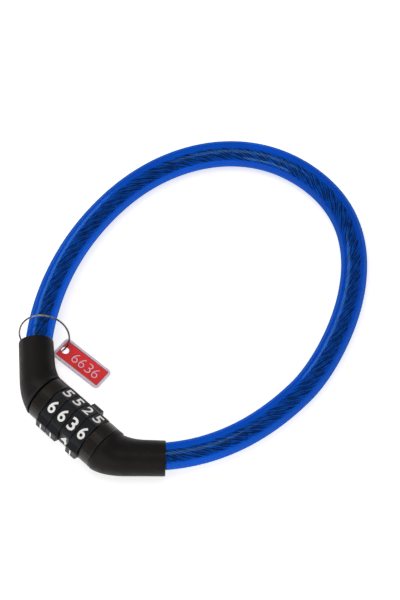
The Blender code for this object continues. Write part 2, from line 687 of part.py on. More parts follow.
def rounded_rectangle(length, width, corner, shift):
    """A rectangle along X whose hole end lies at -shift."""
    loop = []
    for turn, (sx, sy) in enumerate(((1, 1), (0, 1), (0, 0), (1, 0))):
        cx = -shift + (length - corner if sx else corner)
        cy = (width / 2 - corner) * (1 if sy else -1)
        for step in range(4):
            angle = math.pi / 2 * (turn + step / 3)
            loop.append((cx + corner * math.cos(angle), cy + corner * math.sin(angle)))
    return loop


def number_tag(hole_offset, ring_pivot):
    """The clear holder, open on top, and the red card inside it, both hung on the ring's wire."""
    hinge = empty("tag_axis", Matrix.Translation(hole_offset), ring_pivot)
    matrix = (Matrix.Rotation(TAG_YAW, 4, 'Z') @ Matrix.Rotation(TAG_PITCH, 4, 'Y')
              @ Matrix.Rotation(TAG_ROLL, 4, 'X'))
    hole = circle(TAG_HOLE_RADIUS, 20)
    body = rounded_rectangle(TAG_LENGTH, TAG_WIDTH, TAG_CORNER, TAG_HOLE_FROM_END)
    frame = outline("tag_frame", [body, hole], TAG_THICKNESS, matrix, hinge, TAG_CLEAR)
    pocket_length = TAG_LENGTH - 2 * TAG_RIM
    pocket_width = TAG_WIDTH - 2 * TAG_RIM
    pocket_shape = rounded_rectangle(pocket_length, pocket_width, 0.4 * MM, TAG_HOLE_FROM_END - TAG_RIM)
    pocket = outline("tag_pocket", [pocket_shape], 2 * TAG_POCKET_DEPTH,
                     matrix @ Matrix.Translation((0.0, 0.0, TAG_THICKNESS / 2)), hinge, None)
    cut(frame, pocket)
    card_shape = rounded_rectangle(pocket_length - 2 * INSERT_GAP, pocket_width - 2 * INSERT_GAP, 0.3 * MM,
                                   TAG_HOLE_FROM_END - TAG_RIM - INSERT_GAP)
    card_z = TAG_THICKNESS / 2 - TAG_POCKET_DEPTH + 0.08 * MM + INSERT_THICKNESS / 2
    outline("tag_insert", [card_shape, circle(TAG_HOLE_RADIUS + 0.1 * MM, 20)], INSERT_THICKNESS,
            matrix @ Matrix.Translation((0.0, 0.0, card_z)), hinge, TAG_RED)


# ---- assembly -------------------------------------------------------------------------------
def build():
    barrel_middle = Matrix.Translation((-OUTLINE_MIDDLE[0], -OUTLINE_MIDDLE[1], BARREL_HEIGHT))
    lock_frame = empty("lock_frame", barrel_middle @ Matrix.Rotation(-TILT, 4, 'X'), None)

    def hinge_frame(name, point, parent, parent_point=Vector()):
        return empty(name, Matrix.Translation(point - parent_point), parent)

    core_tube(lock_frame)
    fixed_collar(lock_frame)
    dial_spring(lock_frame)
    mouth_collar(lock_frame)
    retaining_clip(lock_frame)
    tube_nut(lock_frame)
    boot("fixed_boot", 1, FIXED_BOOT_X, lock_frame)
    ferrule("fixed_ferrule", 1, lock_frame)
    for number in range(1, DIAL_COUNT + 1):
        dial(number, lock_frame)

    # Each cable body hangs on an empty at its hinge, and pieces keep the lock frame's coordinates
    # through a second empty that undoes the first one's offset.
    right_axis = hinge_frame("cable_fixed_hinge", FIXED_HINGE, lock_frame)
    left_axis = hinge_frame("cable_far_hinge", FAR_HINGE, right_axis, FIXED_HINGE)
    plug_axis = hinge_frame("cable_plug_hinge", PLUG_HINGE, left_axis, FAR_HINGE)
    right_link = hinge_frame("right_link", Vector(), right_axis, FIXED_HINGE)
    left_link = hinge_frame("left_link", Vector(), left_axis, FAR_HINGE)
    plug = hinge_frame("plug", Vector(), plug_axis, PLUG_HINGE)
    cable((plug, left_link, right_link, lock_frame))

    lock_pin(plug)
    plug_cap(plug)
    boot("plug_boot", -1, PLUG_BOOT_X, plug)
    ferrule("plug_ferrule", -1, plug)

    point, centre, axis = ring_place()
    pivot = tag_ring(point, centre, axis, plug)
    level = Vector((0.0, 0.0, 1.0)).cross(axis).normalized()
    down = level.cross(axis)
    towards_hole = level * math.cos(TAG_HOLE_ANGLE) + down * math.sin(TAG_HOLE_ANGLE)
    number_tag(centre + towards_hole * (RING_RADIUS + TAG_HOLE_OUT) - point, pivot)


build()
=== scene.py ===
"""Looks of the combination cable lock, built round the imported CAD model: clear blue sheath over a
twisted wire rope, black plastic boots and barrel, white numerals, wire ring and number tag."""

import json
import math

import bmesh
import bpy
from mathutils import Matrix, Vector


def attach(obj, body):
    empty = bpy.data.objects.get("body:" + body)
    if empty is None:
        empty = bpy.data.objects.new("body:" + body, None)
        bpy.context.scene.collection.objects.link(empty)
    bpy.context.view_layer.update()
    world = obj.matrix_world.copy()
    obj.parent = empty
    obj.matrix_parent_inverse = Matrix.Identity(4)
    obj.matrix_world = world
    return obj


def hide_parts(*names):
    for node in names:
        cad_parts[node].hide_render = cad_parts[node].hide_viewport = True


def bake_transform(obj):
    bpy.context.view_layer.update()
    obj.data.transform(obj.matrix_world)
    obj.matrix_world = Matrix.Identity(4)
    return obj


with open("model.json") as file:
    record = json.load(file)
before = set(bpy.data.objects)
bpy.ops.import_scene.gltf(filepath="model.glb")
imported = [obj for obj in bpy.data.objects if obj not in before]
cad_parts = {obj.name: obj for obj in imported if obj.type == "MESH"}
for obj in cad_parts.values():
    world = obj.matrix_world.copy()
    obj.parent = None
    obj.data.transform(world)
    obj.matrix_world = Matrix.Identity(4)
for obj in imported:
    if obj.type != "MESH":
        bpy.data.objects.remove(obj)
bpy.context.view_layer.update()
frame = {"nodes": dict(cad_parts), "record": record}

MM = 0.001
JOINTS = {joint["name"]: joint for joint in frame["record"]["behaviour"]["joints"]}
DIAL_COUNT = 4
DIAL_PLACES = [Vector(JOINTS["dial_%d_turn" % n]["pos_m"]) for n in range(1, DIAL_COUNT + 1)]
UP = Vector(JOINTS["cable_far_bend"]["axis"]).normalized()
ALONG = Vector((1.0, 0.0, 0.0))
ACROSS = UP.cross(ALONG)
LOCK_TURN = Matrix((ALONG, ACROSS, UP)).transposed()
LOCK = Matrix.Translation(sum(DIAL_PLACES, Vector()) / DIAL_COUNT) @ LOCK_TURN.to_4x4()

# ---- camera ---------------------------------------------------------------------------------
CAMERA_AZIMUTH = math.radians(43.0)
CAMERA_ELEVATION = math.radians(64.0)
CAMERA_TARGET = Vector((1.5, 4.1, 5.0)) * MM
CAMERA_DISTANCE = 700.0 * MM
CAMERA_RIGHT = -1.99 * MM             # how far the camera is moved sideways in its own plane
CAMERA_UP = 0.48 * MM                 # and upward
CAMERA_LENS = 110.796                 # mm
CAMERA_SENSOR = 36.0                  # mm
CAMERA_CLIP_START = 0.01


def make_camera():
    back = Vector((math.sin(CAMERA_AZIMUTH) * math.cos(CAMERA_ELEVATION),
                   -math.cos(CAMERA_AZIMUTH) * math.cos(CAMERA_ELEVATION),
                   math.sin(CAMERA_ELEVATION)))
    right = Vector((math.cos(CAMERA_AZIMUTH), math.sin(CAMERA_AZIMUTH), 0.0))
    up = back.cross(right)
    place = CAMERA_TARGET + back * CAMERA_DISTANCE + right * CAMERA_RIGHT + up * CAMERA_UP
    data = bpy.data.cameras.new("camera")
    data.lens = CAMERA_LENS
    data.sensor_fit = 'AUTO'
    data.sensor_width = CAMERA_SENSOR
    data.clip_start = CAMERA_CLIP_START
    camera = bpy.data.objects.new("camera", data)
    bpy.context.scene.collection.objects.link(camera)
    turn = Matrix((right, up, back)).transposed()
    camera.matrix_world = Matrix.Translation(place) @ turn.to_4x4()
    bpy.context.scene.camera = camera


make_camera()
bpy.context.scene.view_settings.view_transform = 'Standard'

# ---- the cable's route, as in the CAD ---------------------------------------------------------
CABLE_RADIUS = 5.0 * MM
ROUTE_STEPS = 60                      # points along each of the four curves
TANGENT_REACH = 0.5 * MM


def lock_point(x, y):
    """A point in the loop's plane: x along the barrel and y into the loop, in mm."""
    return LOCK @ Vector((x * MM, y * MM, 0.0))


def bezier(start, start_handle, end_handle, end):
    points = []
    for index in range(ROUTE_STEPS):
        t = index / ROUTE_STEPS
        u = 1 - t
        points.append(start * u ** 3 + start_handle * (3 * u * u * t)
                      + end_handle * (3 * u * t * t) + end * t ** 3)
    return points


def end_direction(side, degrees):
    """The way the cable leaves a boot."""
    angle = math.radians(degrees)
    return LOCK_TURN @ Vector((side * math.cos(angle), math.sin(angle), 0.0))


PLUG_END, FIXED_END = lock_point(-28.7, 9.55), lock_point(29.3, 9.0)
PLUG_OUT, FIXED_OUT = end_direction(-1, 45), end_direction(1, 46)
LEFT, FAR, RIGHT = lock_point(-54.5, 77.25), lock_point(-3.75, 137.0), lock_point(51.75, 67.0)
ROUTE = (bezier(PLUG_END, PLUG_END + PLUG_OUT * 9 * MM, LEFT - ACROSS * 37 * MM, LEFT)
         + bezier(LEFT, LEFT + ACROSS * 32.25 * MM, FAR - ALONG * 31.75 * MM, FAR)
         + bezier(FAR, FAR + ALONG * 40.5 * MM, RIGHT + ACROSS * 18.25 * MM, RIGHT)
         + bezier(RIGHT, RIGHT - ACROSS * 35.5 * MM, FIXED_END + FIXED_OUT * 9 * MM, FIXED_END)
         + [FIXED_END])
LENGTHS = [0.0]
for first, second in zip(ROUTE, ROUTE[1:]):
    LENGTHS.append(LENGTHS[-1] + (second - first).length)
CABLE_LENGTH = LENGTHS[-1]


def route_at(distance):
    """The point that far along the route, which runs straight on past both ends."""
    if distance <= 0.0:
        return PLUG_END + PLUG_OUT * distance
    if distance >= CABLE_LENGTH:
        return FIXED_END - FIXED_OUT * (distance - CABLE_LENGTH)
    low, high = 0, len(LENGTHS) - 1
    while high - low > 1:
        middle = (low + high) // 2
        if LENGTHS[middle] <= distance:
            low = middle
        else:
            high = middle
    share = (distance - LENGTHS[low]) / (LENGTHS[high] - LENGTHS[low])
    return ROUTE[low].lerp(ROUTE[high], share)


def nearest_distance(point):
    index = min(range(len(ROUTE)), key=lambda i: (ROUTE[i] - point).length)
    return LENGTHS[index]


def route_frame(distance):
    """The route's point at a distance, and its sideways and upward directions there."""
    after, before = route_at(distance + TANGENT_REACH), route_at(distance - TANGENT_REACH)
    tangent = (after - before).normalized()
    side = tangent.cross(UP).normalized()
    return route_at(distance), side, side.cross(tangent).normalized()


HINGES = {name: Vector(JOINTS[name]["pos_m"])
          for name in ("cable_left_bend", "cable_far_bend", "cable_right_bend")}
HINGE_AT = {name: nearest_distance(point) for name, point in HINGES.items()}
SEAMS = [0.0, (HINGE_AT["cable_left_bend"] + HINGE_AT["cable_far_bend"]) / 2,
         (HINGE_AT["cable_far_bend"] + HINGE_AT["cable_right_bend"]) / 2, CABLE_LENGTH]
# each length of cable: name, its hinge, the bodies before and after it, the bend's half length
CABLE_PIECES = [("left", "cable_left_bend", "plug", "left_cable", 44 * MM),
                ("far", "cable_far_bend", "left_cable", "right_cable", 50 * MM),
                ("right", "cable_right_bend", "right_cable", "barrel", 44 * MM)]

# ---- materials --------------------------------------------------------------------------------
NOISE_ROUGHNESS = 0.55
CLOUD_STOPS = (0.3, 0.7)              # where noise turns from the dark colour into the light one
MIX_COLORS, MIX_RESULT = (6, 7), 2    # the Mix node's sockets for colours
# the width of the painted highlight along sharp edges
EDGE_HIGHLIGHT_RADIUS = 0.25 * MM


class Nodes:
    """A small helper that builds one procedural material."""

    def __init__(self, name):
        self.material = bpy.data.materials.new(name)
        self.material.use_nodes = True
        self.tree = self.material.node_tree
        self.shader = self.tree.nodes["Principled BSDF"]
        self.place = self.add("ShaderNodeTexCoord").outputs["Object"]

    def add(self, kind, **settings):
        node = self.tree.nodes.new(kind)
        for key, value in settings.items():
            setattr(node, key, value)
        return node

    def link(self, source, target):
        self.tree.links.new(source, target)

    def set(self, **values):
        """Set the shader's inputs; an underscore in a name stands for a space."""
        for key, value in values.items():
            self.shader.inputs[key.replace("_", " ")].default_value = value

    def scaled(self, source, scale):
        """Coordinates scaled along each axis."""
        mapping = self.add("ShaderNodeMapping")
        mapping.inputs["Scale"].default_value = scale
        self.link(source, mapping.inputs["Vector"])
        return mapping.outputs["Vector"]

    def noise(self, scale, detail=3.0, stretch=None):
        node = self.add("ShaderNodeTexNoise")
        node.inputs["Scale"].default_value = scale
        node.inputs["Detail"].default_value = detail
        node.inputs["Roughness"].default_value = NOISE_ROUGHNESS
        source = self.scaled(self.place, stretch) if stretch else self.place
        self.link(source, node.inputs["Vector"])
        return node.outputs["Fac"]

    def ramp(self, source, stops):
        """A colour for each value, from (value, colour) stops in rising order."""
        node = self.add("ShaderNodeValToRGB")
        elements = node.color_ramp.elements
        elements[0].position, elements[0].color = stops[0][0], (*stops[0][1], 1.0)
        elements[1].position, elements[1].color = stops[-1][0], (*stops[-1][1], 1.0)
        for position, color in stops[1:-1]:
            element = elements.new(position)
            element.color = (*color, 1.0)
        self.link(source, node.inputs["Fac"])
        return node.outputs["Color"]

    def clouds(self, scale, dark, light, detail=3.0):
        """Soft patches of two colours."""
        return self.ramp(self.noise(scale, detail), list(zip(CLOUD_STOPS, (dark, light))))

    def range(self, source, low, high, start=0.35, end=0.65):
        """The source's values from start to end, spread from low to high."""
        node = self.add("ShaderNodeMapRange")
        node.inputs["From Min"].default_value = start
        node.inputs["From Max"].default_value = end
        node.inputs["To Min"].default_value = low
        node.inputs["To Max"].default_value = high
        self.link(source, node.inputs["Value"])
        return node.outputs["Result"]

    def color(self, source):
        self.link(source, self.shader.inputs["Base Color"])

    def roughness(self, source, low, high):
        self.link(self.range(source, low, high), self.shader.inputs["Roughness"])

    def bump(self, height, distance, strength=1.0):
        node = self.add("ShaderNodeBump")
        node.inputs["Distance"].default_value = distance
        node.inputs["Strength"].default_value = strength
        self.link(height, node.inputs["Height"])
        self.link(node.outputs["Normal"], self.shader.inputs["Normal"])

    def edge_wear(self, radius):
        """1 on sharp edges, 0 elsewhere: where a painted edge highlight goes."""
        bevel = self.add("ShaderNodeBevel", samples=4)
        bevel.inputs["Radius"].default_value = radius
        geometry = self.add("ShaderNodeNewGeometry")
        dot = self.add("ShaderNodeVectorMath", operation='DOT_PRODUCT')
        self.link(bevel.outputs["Normal"], dot.inputs[0])
        self.link(geometry.outputs["Normal"], dot.inputs[1])
        return self.range(dot.outputs["Value"], 1.0, 0.0, 0.85, 0.98)

    def mix(self, factor, first, second):
        node = self.add("ShaderNodeMix", data_type='RGBA')
        self.link(factor, node.inputs["Factor"])
        for index, value in zip(MIX_COLORS, (first, second)):
            if isinstance(value, tuple):
                node.inputs[index].default_value = (*value, 1.0)
            else:
                self.link(value, node.inputs[index])
        return node.outputs[MIX_RESULT]


def plastic(name, dark, light, rough_low, rough_high, grain, depth, edge_highlight_color=None):
    """Moulded plastic: cloudy colour, uneven gloss, a fine grain and slightly paler edges, a
    painted highlight.
    """
    nodes = Nodes(name)
    color = nodes.clouds(160.0, dark, light, 4.0)
    # paler sharp edges: a painted highlight along them
    if edge_highlight_color:
        color = nodes.mix(nodes.edge_wear(EDGE_HIGHLIGHT_RADIUS), color, edge_highlight_color)
    nodes.color(color)
    nodes.roughness(nodes.noise(420.0), rough_low, rough_high)
    nodes.bump(nodes.noise(grain, 2.0), depth)
    return nodes


def metal(name, dark, light, rough_low, rough_high, stretch):
    """Drawn or turned metal: fine lines along one direction and uneven gloss."""
    nodes = Nodes(name)
    lines = nodes.noise(900.0, 4.0, stretch)
    nodes.color(nodes.ramp(lines, list(zip(CLOUD_STOPS, (dark, light)))))
    nodes.set(Metallic=1.0)
    nodes.roughness(lines, rough_low, rough_high)
    nodes.bump(lines, 0.02 * MM, 0.5)
    return nodes


def sheath_material():
    """Clear dyed vinyl with an uneven skin, a darker blue where the wall is seen at a low angle."""
    nodes = Nodes("sheath_vinyl")
    nodes.color(nodes.clouds(90.0, (0.0, 0.134, 0.54), (0.0, 0.164, 0.64)))
    nodes.set(IOR=1.45, Transmission_Weight=0.97, Specular_IOR_Level=0.85,
              Specular_Tint=(0.55, 0.72, 1.0, 1.0))
    # the coat bends and reflects nothing; its tint alone darkens the edges
    nodes.set(Coat_Weight=1.0, Coat_IOR=1.0, Coat_Tint=(0.42, 0.74, 0.94, 1.0))
    nodes.roughness(nodes.noise(300.0), 0.015, 0.06)
    nodes.bump(nodes.noise(1000.0), 0.05 * MM, 0.7)
    return nodes.material


def rope_material():
    """Steel wire strands: the wires run at a slant round each strand, with painted shade in the
    grooves between them.
    """
    nodes = Nodes("rope_steel")
    uv = nodes.add("ShaderNodeTexCoord").outputs["UV"]
    wave = nodes.add("ShaderNodeTexWave", wave_type='BANDS', bands_direction='DIAGONAL')
    wave.inputs["Scale"].default_value = 1.75
    wave.inputs["Distortion"].default_value = 1.0
    nodes.link(nodes.scaled(uv, (1.0, 0.07, 1.0)), wave.inputs["Vector"])
    wires = wave.outputs["Fac"]
    grime = nodes.noise(500.0, 4.0)
    # the dark colour is painted shade in the grooves between the wires, and also the colour of
    # random grime patches
    groove_shade_and_grime = (0.10, 0.10, 0.11)
    steel = nodes.ramp(wires, [(0.1, groove_shade_and_grime), (0.38, (0.85, 0.85, 0.86)), (0.6, (1.0, 1.0, 1.0))])
    nodes.color(nodes.mix(nodes.range(grime, 0.0, 0.6, 0.5, 0.7), steel, groove_shade_and_grime))
    nodes.set(Metallic=0.3)
    nodes.roughness(grime, 0.30, 0.5)
    nodes.bump(wires, 0.06 * MM)
    return nodes.material


def tag_clear_material():
    """The tag holder's milky clear plastic."""
    nodes = Nodes("tag_clear")
    nodes.color(nodes.clouds(120.0, (0.80, 0.73, 0.86), (0.90, 0.84, 0.94)))
    nodes.set(IOR=1.46, Transmission_Weight=0.15)
    nodes.roughness(nodes.noise(600.0), 0.12, 0.3)
    nodes.bump(nodes.noise(500.0, 2.0), 0.02 * MM)
    return nodes.material


# name, dark and light colour, low and high roughness, grain's scale and depth, painted highlight
# colour of the edges
BOOT = plastic("boot_plastic", (0.0032, 0.0029, 0.0029), (0.0056, 0.0052, 0.0052), 0.42, 0.54,
               5200.0, 0.035 * MM)
BOOT.set(Specular_IOR_Level=0.15, Specular_Tint=(1.0, 0.92, 0.88, 1.0))
COLLAR = plastic("collar_plastic", (0.0035, 0.0030, 0.0028), (0.006, 0.0050, 0.0045), 0.26, 0.36,
                 1400.0, 0.006 * MM, (0.05, 0.045, 0.04))
COLLAR.set(Specular_IOR_Level=0.3, Specular_Tint=(1.0, 0.90, 0.84, 1.0))
DIAL = plastic("dial_plastic", (0.0075, 0.0085, 0.0105), (0.012, 0.0135, 0.0165), 0.30, 0.45,
               3600.0, 0.02 * MM, (0.03, 0.031, 0.035))
DIAL.set(Specular_IOR_Level=0.18)
NUMERAL = plastic("numeral_paint", (0.74, 0.72, 0.70), (0.90, 0.89, 0.88), 0.45, 0.6,
                  3000.0, 0.02 * MM)
TAG_RED = plastic("tag_red", (0.80, 0.013, 0.022), (0.92, 0.022, 0.032), 0.42, 0.55,
                  2500.0, 0.01 * MM)
TAG_INK = plastic("tag_ink", (0.78, 0.62, 0.74), (0.90, 0.78, 0.86), 0.5, 0.6, 2500.0, 0.01 * MM)
# name, dark and light colour, low and high roughness, the lines' scale along each axis
RING = metal("ring_steel", (0.16, 0.14, 0.12), (0.36, 0.33, 0.30), 0.18, 0.32, (1.0, 1.0, 1.0))
STEEL = metal("steel", (0.42, 0.42, 0.43), (0.62, 0.62, 0.64), 0.18, 0.34, (0.15, 1.0, 1.0))
BRASS = metal("brass", (0.52, 0.36, 0.13), (0.74, 0.54, 0.24), 0.2, 0.36, (0.15, 1.0, 1.0))
SHEATH = sheath_material()
ROPE = rope_material()
TAG_CLEAR = tag_clear_material()

NODE_MATERIALS = {
    "fixed_boot": BOOT, "plug_boot": BOOT, "fixed_collar": COLLAR, "mouth_collar": COLLAR,
    "tag_insert": TAG_RED, "tag_ring": RING,
    "core_tube": STEEL, "tube_nut": STEEL, "retaining_clip": STEEL, "dial_spring": STEEL,
    "fixed_ferrule": STEEL, "fixed_ferrule_pin": STEEL,
    "plug_ferrule": STEEL, "plug_ferrule_pin": STEEL, "plug_cap": STEEL, "lock_pin": STEEL}
for number in range(1, DIAL_COUNT + 1):
    NODE_MATERIALS["dial_%d" % number] = DIAL
    NODE_MATERIALS["code_ring_%d" % number] = BRASS


def finish_nodes():
    """Give every CAD node its material; the cable's nodes get theirs by the start of their name."""
    for name, item in frame["nodes"].items():
        if name in NODE_MATERIALS:
            material = NODE_MATERIALS[name].material
        elif name.startswith("sheath"):
            material = SHEATH
        elif name.startswith("wire_rope"):
            material = ROPE
        else:
            material = TAG_CLEAR
        for material_slot in item.material_slots:
            material_slot.material = material


finish_nodes()


# ---- cable ------------------------------------------------------------------------------------
def tube_rings(shape, uv, rings, v_step, cap_start=False, cap_end=False):
    """Skin a list of rings of points; u runs once round and v along, in ring steps."""
    made = [[shape.verts.new(point) for point in ring] for ring in rings]
    count = len(rings[0])
    for row, (low, high) in enumerate(zip(made, made[1:])):
        for index in range(count):
            after = (index + 1) % count
            face = shape.faces.new((low[index], low[after], high[after], high[index]))
            face.smooth = True
            corners = ((index, row), (index + 1, row), (index + 1, row + 1), (index, row + 1))
            for loop, (u, v) in zip(face.loops, corners):
                loop[uv].uv = (u / count, v * v_step)
    if cap_start:
        shape.faces.new(list(reversed(made[0])))
    if cap_end:
        shape.faces.new(made[-1])


def new_piece(name, shape, material):
    bmesh.ops.recalc_face_normals(shape, faces=shape.faces)
    mesh = bpy.data.meshes.new(name)
    shape.to_mesh(mesh)
    shape.free()
    mesh.materials.append(material)
    item = bpy.data.objects.new(name, mesh)
    bpy.context.scene.collection.objects.link(item)
    return item


def stations(start, end, spacing):
    """Even distances from start to end, at most that far apart."""
    count = max(2, math.ceil((end - start) / spacing))
    return [start + (end - start) * index / count for index in range(count + 1)]


SHEATH_SIDES = 36
SHEATH_SPACING = 1.6 * MM             # from one ring of the sheath to the next
STRAND_SPACING = 0.75 * MM
COARSE_UV_STEP, ROPE_UV_STEP = 0.1, 0.5
STRAND_COUNT = 6
STRAND_RADIUS = 0.52 * MM
STRAND_LAY_RADIUS = 1.17 * MM
CORE_STRAND_RADIUS = 0.62 * MM
STRAND_PITCH = -29.0 * MM             # left-handed
STRAND_SIDES = 8


def sheath_piece(name, start, end, cap_start, cap_end):
    """A length of sheath and its rings' centres."""
    shape = bmesh.new()
    uv = shape.loops.layers.uv.new("UVMap")
    rings, centres = [], []
    for distance in stations(start, end, SHEATH_SPACING):
        centre, side, up = route_frame(distance)
        centres.append(centre)
        rings.append([centre + (side * math.cos(a) + up * math.sin(a)) * CABLE_RADIUS
                      for a in (2 * math.pi * k / SHEATH_SIDES for k in range(SHEATH_SIDES))])
    tube_rings(shape, uv, rings, COARSE_UV_STEP, cap_start, cap_end)
    return new_piece(name, shape, SHEATH), centres


def strand_rings(start, end, lay_radius, radius, phase):
    """The rings of one strand, wound round the route at the lay radius."""
    rings = []
    for distance in stations(start, end, STRAND_SPACING):
        centre, side, up = route_frame(distance)
        turn = 2 * math.pi * distance / STRAND_PITCH + phase
        outward = side * math.cos(turn) + up * math.sin(turn)
        sideways = up * math.cos(turn) - side * math.sin(turn)
        middle = centre + outward * lay_radius
        rings.append([middle + (outward * math.cos(a) + sideways * math.sin(a)) * radius
                      for a in (2 * math.pi * k / STRAND_SIDES for k in range(STRAND_SIDES))])
    return rings


def rope_piece(name, start, end):
    """A length of rope: a straight core strand and six wound round it."""
    shape = bmesh.new()
    uv = shape.loops.layers.uv.new("UVMap")
    strands = [strand_rings(start, end, 0.0, CORE_STRAND_RADIUS, 0.0)]
    for index in range(STRAND_COUNT):
        phase = 2 * math.pi * index / STRAND_COUNT
        strands.append(strand_rings(start, end, STRAND_LAY_RADIUS, STRAND_RADIUS, phase))
    for rings in strands:
        tube_rings(shape, uv, rings, ROPE_UV_STEP, True, True)
    return new_piece(name, shape, ROPE)


# the ends of the names of the CAD nodes that each length replaces
CABLE_NODES = {"left": ("plug", "left"), "far": (), "right": ("right", "fixed")}
ROPE_INSIDE = 4.7 * MM                # how far the rope runs on into each ferrule


def make_cable():
    """Three lengths of sheath and rope that follow on, each running over the place of one hinge."""
    for index, (name, hinge, before, after, reach) in enumerate(CABLE_PIECES):
        start, end = SEAMS[index], SEAMS[index + 1]
        first, last = index == 0, index == len(CABLE_PIECES) - 1
        sheath, path = sheath_piece("cable_sheath_" + name, start, end, first, last)
        rope = rope_piece("cable_rope_" + name, start - ROPE_INSIDE * first,
                          end + ROPE_INSIDE * last)
        for piece, node, slot in ((sheath, "sheath_", "sheath_vinyl"),
                                  (rope, "wire_rope_", "rope_steel")):
            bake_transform(piece)
            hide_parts(*[node + part for part in CABLE_NODES[name]])


make_cable()

# ---- boots ------------------------------------------------------------------------------------
# side -1 is the plug's boot and 1 the fixed one
BOOT_FACE_X = {-1: 15.6 * MM, 1: 15.4 * MM}      # the face that meets the barrel
BOOT_CORNER_X = {-1: 18.75 * MM, 1: 20.0 * MM}   # where the two centre lines would cross
BOOT_LEG = {-1: 19.65 * MM, 1: 18.7 * MM}        # from there to the mouth
BOOT_TURN = math.radians(42.2)
BOOT_BEND_RADIUS = 9.0 * MM
BOOT_JOINT_RADIUS = 8.7 * MM
BOOT_NECK_RADIUS = 6.75 * MM
BOOT_MOUTH_RADIUS = 6.5 * MM
BOOT_BORE_RADIUS = 5.15 * MM
BOOT_EDGE = 0.35 * MM                 # the edges' rounding, in steps of
BOOT_EDGE_STEP = 0.1 * MM
BOOT_SIDES = 64
BEND_STEPS = 26
LEG_STEPS = 24
BORE_STEPS = 8
BORE_OUT = 5.5 * MM                   # from the cable's end out to the mouth
FERRULE_END = 7.0 * MM                # from the cable's end to the far end of its ferrule
FILLET_RADIUS = 8.35 * MM             # the inner side's reach at the end of the bend
FILLET_LENGTH = 7.5 * MM              # how far along the leg the inner side runs out to the neck
BORE_TURN_RING = 2 + BEND_STEPS // 3  # the skin ring at whose centre the bore turns to the barrel
WELD_DISTANCE = 0.002 * MM
SHARP_ANGLE = math.radians(40)


def boot_skin(side):
    """(centre x, y, turn, radius, inner radius) of the skin's rings, from joint face to mouth."""
    face = BOOT_FACE_X[side]
    tangent = BOOT_BEND_RADIUS * math.tan(BOOT_TURN / 2)
    bend_x = BOOT_CORNER_X[side] - tangent
    steps = []
    for reach, inset in ((0.0, BOOT_EDGE), (BOOT_EDGE_STEP, BOOT_EDGE_STEP), (BOOT_EDGE, 0.0)):
        radius = BOOT_JOINT_RADIUS - inset
        steps.append((face + reach, 0.0, 0.0, radius, radius))
    for step in range(1, BEND_STEPS + 1):
        share = step / BEND_STEPS
        angle = BOOT_TURN * share
        x = bend_x + BOOT_BEND_RADIUS * math.sin(angle)
        ease = math.sin(math.pi / 2 * share)
        radius = BOOT_JOINT_RADIUS + (BOOT_NECK_RADIUS - BOOT_JOINT_RADIUS) * ease
        inner = BOOT_JOINT_RADIUS + (FILLET_RADIUS - BOOT_JOINT_RADIUS) * share
        if x > face + 2 * BOOT_EDGE:
            steps.append((x, BOOT_BEND_RADIUS * (1 - math.cos(angle)), angle, radius, inner))
    length = BOOT_LEG[side] - tangent
    for from_mouth, radius in leg_stations(length):
        reach = BOOT_LEG[side] - from_mouth
        share = min(1.0, (length - from_mouth) / FILLET_LENGTH)
        inner = radius + (FILLET_RADIUS - BOOT_NECK_RADIUS) * (1 - share) ** 2
        steps.append((BOOT_CORNER_X[side] + reach * math.cos(BOOT_TURN),
                      reach * math.sin(BOOT_TURN), BOOT_TURN, radius, inner))
    return steps


def leg_stations(length):
    """(distance from the mouth, radius) along a boot's straight leg, which narrows a little."""
    steps = []
    for index in range(1, LEG_STEPS):
        share = index / LEG_STEPS
        steps.append((length * (1 - share),
                      BOOT_NECK_RADIUS + (BOOT_MOUTH_RADIUS - BOOT_NECK_RADIUS) * share))
    return steps + [(BOOT_EDGE, BOOT_MOUTH_RADIUS),
                    (BOOT_EDGE_STEP, BOOT_MOUTH_RADIUS - BOOT_EDGE_STEP),
                    (0.0, BOOT_MOUTH_RADIUS - BOOT_EDGE)]


def boot_bore(side, skin):
    """The same for the bore, from the mouth back along the cable to the joint face."""
    steps = [bore_step(side, BORE_OUT * (1 - index / BORE_STEPS))
             for index in range(BORE_STEPS + 1)]
    steps.append(bore_step(side, -FERRULE_END))
    x, y, turn = skin[BORE_TURN_RING][:3]
    steps.append((x, y, turn, BOOT_BORE_RADIUS, BOOT_BORE_RADIUS))
    steps.append((BOOT_FACE_X[side], 0.0, 0.0, BOOT_BORE_RADIUS, BOOT_BORE_RADIUS))
    return steps


def bore_step(side, reach):
    """The bore's ring round the cable, at a distance out from the cable's end."""
    point = LOCK.inverted() @ route_at(reach if side < 0 else CABLE_LENGTH - reach)
    return (side * point.x, point.y, BOOT_TURN, BOOT_BORE_RADIUS, BOOT_BORE_RADIUS)


def boot_ring(side, x, y, turn, radius, inner_radius):
    """A round section that reaches out to the inner radius on the inner side of the bend."""
    centre = Vector((side * x, y, 0.0))
    inner = Vector((-side * math.sin(turn), math.cos(turn), 0.0))
    ring = []
    for index in range(BOOT_SIDES):
        angle = 2 * math.pi * index / BOOT_SIDES
        reach = radius + (inner_radius - radius) * max(0.0, math.cos(angle)) ** 2
        ring.append(LOCK @ (centre + inner * reach * math.cos(angle)
                            + Vector((0.0, 0.0, radius * math.sin(angle)))))
    return ring


def make_boot(name, node, side, body):
    """One closed skin: the outside, and the bore back to where it starts."""
    skin = boot_skin(side)
    rings = [boot_ring(side, *step) for step in skin + boot_bore(side, skin)]
    rings.append(rings[0])
    shape = bmesh.new()
    uv = shape.loops.layers.uv.new("UVMap")
    tube_rings(shape, uv, rings, COARSE_UV_STEP)
    bmesh.ops.remove_doubles(shape, verts=shape.verts, dist=WELD_DISTANCE)
    piece = new_piece(name, shape, BOOT.material)
    piece.data.set_sharp_from_angle(angle=SHARP_ANGLE)
    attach(piece, body)
    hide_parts(node)


make_boot("boot_fixed", "fixed_boot", 1, "barrel")
make_boot("boot_plug", "plug_boot", -1, "plug")

